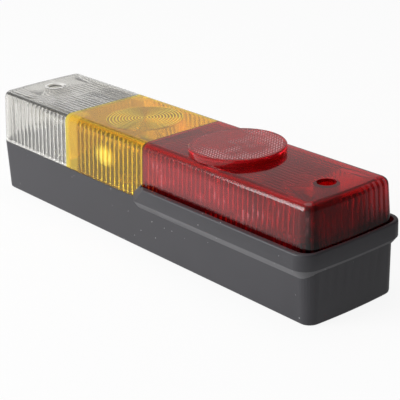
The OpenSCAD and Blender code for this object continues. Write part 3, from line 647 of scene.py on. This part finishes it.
def amber_painted_glints(finish):
    """Painted glints on the amber lens: a painted glow on its plain border, painted highlights on the rings
    in its roof and on the flutes by the bulb.
    """
    border, rings_out, beside_the_roof = 12.5 * MM, 24 * MM, 20 * MM
    x, y, z = (along(finish, axis) for axis in range(3))
    bulb_x = bulb_places[1]
    beside = abs(y) > beside_the_roof
    painted_border_glow = 0.13 * (x < clear_joint + border) * beside + 0.12 * (x < clear_joint + 0.3 * border)
    out = away_from_axis(finish, bulb_x)
    towards_the_arcs = abs((x - bulb_x) * 0.63 + y * 0.78) / out
    painted_ring_glints = (z > roof_face) * (out < rings_out) * (from_line(out, ring_pitch) < 0.36)
    # The rings' painted glints fall on one side of their centre only.
    painted_ring_glints *= rise(towards_the_arcs, -0.3, 0.8)
    from_bulb = away_from(finish, (bulb_x, 0, (lens_foot + lens_top) / 2), (1, 0, 1.4))
    painted_flute_glints = beside * (from_line(x, flute_pitch) > 0.4) * rise(from_bulb, 12 * MM, 3 * MM)
    return painted_border_glow + 0.65 * painted_ring_glints + 0.6 * painted_flute_glints


def red_painted_shade(finish):
    """Painted shade on the red lens: its roof and end wall, along its foot, in its well, at its far corner
    and in soft patches on its walls.
    """
    x, y, z = (along(finish, axis) for axis in range(3))
    level = abs(finish.upright()) > 0.6
    roof = level * (1 - 0.6 * rise(x, 95 * MM, 125 * MM))
    end_wall = rise(x, lens_end - 14 * MM, lens_end - 5 * MM)
    foot = z < lens_foot + 11 * MM + 3 * MM * end_wall
    well = (away_from_axis(finish, screw_out) < well_radius + skin) * (z < lens_top - 0.3 * MM)
    corner = rise(x, lens_end - 9 * MM, lens_end - 6 * MM) * rise(abs(y), 23 * MM, long_wall)
    corner_stripe_pitch = 6 * MM
    corner *= 1.3 * (from_line(x - abs(y), corner_stripe_pitch) > 0.4) - 0.4
    patches = rise(finish.noise(32, 2), 0.48, 0.66) * (1 - level) * rise(x, 60 * MM, 95 * MM)
    walls = 0.36 * end_wall + (0.4 - 0.2 * end_wall) * foot + 0.3 * corner + 0.3 * patches
    return walls + 0.24 * roof + 0.6 * well


def red_painted_streaks(finish):
    """Painted highlights on the red lens: faint on the flutes of its walls, brighter in short streaks, and in
    lines on its end wall.
    """
    x, y, z = (along(finish, axis) for axis in range(3))
    dark_foot = lens_foot + 10 * MM
    walls = (abs(y) > long_wall) * rise(z, dark_foot, dark_foot + 4 * MM)
    walls *= rise(z, lens_top - 5 * MM, lens_top - 9 * MM)
    painted_streaks = (from_line(x - red_joint, red_flute_pitch) > 0.62) * rise(finish.noise(85, 2), 0.56, 0.7)
    end_lines = (x > lens_end - 5 * MM) * (from_line(y, red_flute_pitch) > 0.5)
    end_lines *= rise(y, 0, long_wall) * rise(z, dark_foot, dark_foot + 14 * MM)
    fading = rise(x, lens_end - 20 * MM, 70 * MM)
    return walls * (0.06 * fading + 0.17 * painted_streaks) + 0.22 * end_lines


def red_welds(finish):
    """The red section is welded to the amber one and to the reflector."""
    return end_welds(finish) + reflector_welds(finish)


# The last colour of each plastic is the colour of its painted highlights.
clear_plastic = lens_plastic("clear acrylic", (0.87, 0.86, 0.83, 1), (0.78, 0.77, 0.74, 1), 0.93,
                             end_welds, clear_painted_highlights, (0.95, 0.94, 0.92, 1), clear_painted_shade)
amber_plastic = lens_plastic("amber acrylic", (0.98, 0.7, 0.02, 1), (0.92, 0.6, 0.015, 1), 0.94,
                             end_welds, amber_painted_glints, (1.0, 0.86, 0.16, 1))
red_plastic = lens_plastic("red acrylic", (0.8, 0.015, 0.03, 1), (0.66, 0.01, 0.02, 1), 0.94,
                           red_welds, red_painted_streaks, (0.9, 0.3, 0.33, 1), red_painted_shade, dull_edge=0.1)
smooth_copy("clear_lens", "clear_lens_moulding", clear_plastic)
smooth_copy("amber_lens", "amber_lens_moulding", amber_plastic)
smooth_copy("red_lens", "red_lens_moulding", red_plastic)


# Reflector: a round red cap, welded onto the red lens, with a field of small pyramid prisms
# moulded into the underside of its face. They throw light back, and their tips carry pale dots
# of painted highlight.
prism_pitch, prism_depth = 2 * MM, 0.7 * MM


def prism_painted_highlights(finish):
    """Painted highlights on the prisms' tips, brighter in some places than in others."""
    dots = along(finish, 2) > reflector_high[2] - skin
    for axis in (0, 1):
        dots *= from_line(along(finish, axis) - reflector_centre[axis], prism_pitch) > 0.56
    inside = away_from_axis(finish, reflector_centre[0]) < reflector_radius - reflector_wall
    return (0.06 + 0.6 * rise(finish.noise(45, 2), 0.42, 0.66)) * dots * inside


# Its last colour is that of the painted highlights on the prisms' tips.
reflector_plastic = lens_plastic("prismatic red acrylic", (0.85, 0.02, 0.035, 1), (0.7, 0.015, 0.025, 1), 0.9,
                                 reflector_welds, prism_painted_highlights, (1.0, 0.72, 0.74, 1))
reflector = Form("reflector", radius=reflector_radius, wall=reflector_wall, pitch=prism_pitch,
                 depth=prism_depth, height=reflector_high[2] - reflector_low[2], edge=0.5 * MM,
                 teeth=30, below=0.5 * MM, sides=128)
face_foot = reflector["height"] - reflector["wall"]
half_field = reflector["teeth"] * reflector["pitch"] * 0.5
half_pitch = 0.5 * reflector["pitch"]
block = reflector.node("GeometryNodeMeshCube", {}, {
    "Size": reflector.vector(2 * half_field, 2 * half_field, face_foot + 2 * reflector["below"]),
    "Vertices X": 2 * reflector["teeth"] + 1, "Vertices Y": 2 * reflector["teeth"] + 1}, "Mesh")
point = reflector.node("GeometryNodeInputPosition")
*flat_places, up = (reflector.node("ShaderNodeSeparateXYZ", {}, {0: point}, axis) for axis in range(3))
waves = [up.math("PINGPONG", place + half_field, half_pitch) for place in flat_places]
pit_depth = up.math("MINIMUM", *waves) * reflector["depth"] / half_pitch
pitted = reflector.node("GeometryNodeSetPosition", {}, {
    "Geometry": block, "Selection": up > 0, "Offset": reflector.vector(z=-1 * pit_depth)})
split = reflector.node("GeometryNodeTriangulate", {"quad_method": "LONGEST_DIAGONAL"}, {"Mesh": pitted})
pits = reflector.moved(split, reflector.vector(z=0.5 * face_foot - reflector["below"]))
bore = reflector.cylinder(reflector["radius"] - reflector["wall"], reflector["height"],
                          -1 * reflector["below"], reflector["sides"])
cap = reflector.chamfered(reflector["radius"], reflector["height"], reflector["edge"], reflector["sides"])
pitted_bore = reflector.boolean("INTERSECT", bore, pits)
reflector.end(reflector.boolean("DIFFERENCE", cap, pitted_bore), reflector_plastic)
stands_for(reflector.piece("reflex_reflector_moulding", [reflector_centre]), "reflex_reflector")


# Lens screws: two cross-slotted screws of plated steel, turned into the housing's posts at
# the bottom of the lens's wells. Their thread is one ridge wound round the core.
screw_head_height = 3 * MM
screw = Form("lens screw", head=screw_head_radius, head_height=screw_head_height, edge=0.6 * MM,
             slot=1 * MM, slot_length=4.8 * MM, slot_depth=1.4 * MM, core=1.6 * MM, crest=0.36 * MM,
             shank=screw_high[2] - screw_low[2] - screw_head_height, pitch=1.6 * MM)
slot_height = screw.vector(z=screw["head_height"] - 0.5 * screw["slot_depth"] + 0.5 * screw["edge"])
slot_block = screw.node("GeometryNodeMeshCube", {}, {
    "Size": screw.vector(screw["slot_length"], screw["slot"], screw["slot_depth"] + screw["edge"])}, "Mesh")
slot = screw.moved(slot_block, slot_height)
crossed_slot = screw.boolean("UNION", slot, screw.moved(slot, (0.0, 0.0, 0.0), (0.0, 0.0, math.pi / 2)))
plain_head = screw.chamfered(screw["head"], screw["head_height"], screw["edge"], 48)
screw_head = screw.boolean("DIFFERENCE", plain_head, crossed_slot)
core = screw.cylinder(screw["core"], screw["shank"], -1 * screw["shank"])
thread_path = screw.node("GeometryNodeCurveSpiral", {}, {
    "Resolution": 28, "Rotations": screw["shank"] / screw["pitch"], "Start Radius": screw["core"],
    "End Radius": screw["core"], "Height": screw["shank"] - 2 * screw["crest"]})
ridge = screw.node("GeometryNodeCurvePrimitiveCircle", {}, {"Resolution": 4, "Radius": screw["crest"]})
wound = screw.node("GeometryNodeCurveToMesh", {}, {
    "Curve": thread_path, "Profile Curve": ridge, "Fill Caps": True})
thread = screw.moved(wound, screw.vector(z=screw["crest"] - screw["shank"]))
screw.end(screw.joined(screw_head, core, thread), plated_steel)
screw_places = [(side * screw_out, 0, screw_high[2] - screw_head_height) for side in (-1, 1)]
stands_for(screw.piece("lens_screws_steel", screw_places), "lens_screws")


# Stage: a plain white floor, a large soft lamp at the front left, a weaker one overhead and a
# pale room, which is white to the camera and brighter on the lamp's side in glossy faces.
half_floor, below_the_lamp = 3.0, -0.1 * MM
floor_corners = [(x * half_floor, y * half_floor, 0) for x, y in ((-1, -1), (1, -1), (1, 1), (-1, 1))]
floor_mesh = bpy.data.meshes.new("floor")
floor_mesh.from_pydata(floor_corners, [], [(0, 1, 2, 3)])
floor_paint = Finish("white floor", Roughness=0.9, Specular_IOR_Level=0.0)
floor_paint.wire(floor_paint.surface, {"Base Color": (0.86, 0.86, 0.86, 1)})


def ray(finish, kind):
    """1 for rays of that kind, such as those from the camera."""
    return finish.node("ShaderNodeLightPath", output=kind)


def towards_the_lamp(finish, place, far, near):
    """1 on the lamp's side of the room, falling to 0 on the other side."""
    values = {0: place, 1: (-0.78, -0.62, 0.0)}
    reach = finish.node("ShaderNodeVectorMath", {"operation": "DOT_PRODUCT"}, values, "Value")
    return rise(reach, far, near)


def glow_strength(finish, through, mirrored):
    """White straight on, and dimmer through clear plastic and in glossy faces."""
    refracted = ray(finish, "Is Transmission Ray")
    in_gloss = (1 - refracted) * ray(finish, "Is Glossy Ray")
    return ray(finish, "Is Camera Ray") + through * refracted + mirrored * in_gloss


floor_place = floor_paint.node("ShaderNodeNewGeometry", output="Position")
floor_side = towards_the_lamp(floor_paint, floor_place, -0.3, 0.02)
floor_mirrored = 0.12 + 0.83 * floor_side
white_glow = floor_paint.node("ShaderNodeEmission", {}, {
    "Color": (1, 1, 1, 1), "Strength": glow_strength(floor_paint, 0.95, floor_mirrored)})
floor_body = Shade(floor_paint, floor_paint.surface.outputs[0])
seen = ray(floor_paint, "Is Camera Ray")
for kind in ("Is Transmission Ray", "Is Glossy Ray"):
    seen = seen.math("MAXIMUM", seen, ray(floor_paint, kind))
painted = floor_paint.node("ShaderNodeMixShader", {}, {0: 0.9 * seen, 1: floor_body, 2: white_glow})
floor_paint.wire(floor_paint.output, {"Surface": painted})
floor = linked("floor", floor_mesh, floor_paint)
floor.location.z = below_the_lamp

room = bpy.data.worlds.new("room")
room.use_nodes = True
bpy.context.scene.world = room


class Room(Tree):
    """The world's nodes, with the same methods as a finish."""

    def __init__(self, world):
        self.tree = world.node_tree
        self.surface = self.tree.nodes["Background"]


ambient = 0.27
pale_room = Room(room)
room_side = towards_the_lamp(pale_room, pale_room.place(), -0.9, 0.5)
room_height = along(pale_room, 2)
overhead = rise(room_height, 0.1, 0.75)
room_through = (0.95 - 0.75 * overhead) * (0.35 + 0.65 * room_side)
low_in_the_room = rise(room_height, 0.37, 0.315)
room_mirrored = 0.06 + (0.36 + 0.24 * low_in_the_room) * room_side
room_glow = glow_strength(pale_room, room_through, room_mirrored)
pale_room.wire(pale_room.surface, {
    "Color": (1, 1, 1, 1),
    "Strength": ambient * ray(pale_room, "Is Diffuse Ray") + room_glow,
})


def soft_lamp(name, place, size, watts):
    lamp = bpy.data.lights.new(name, "AREA")
    lamp.size = size
    lamp.energy = watts
    holder = bpy.data.objects.new(name, lamp)
    facing_the_lamp = (-Vector(place)).to_track_quat("-Z", "Y").to_matrix().to_4x4()
    holder.matrix_world = Matrix.Translation(place) @ facing_the_lamp
    bpy.context.scene.collection.objects.link(holder)


soft_lamp("front_left_lamp", (-0.6, -1.3, 0.6), 1.0, 26)
soft_lamp("top_lamp", (-0.2, 0.1, 1.4), 1.2, 7)
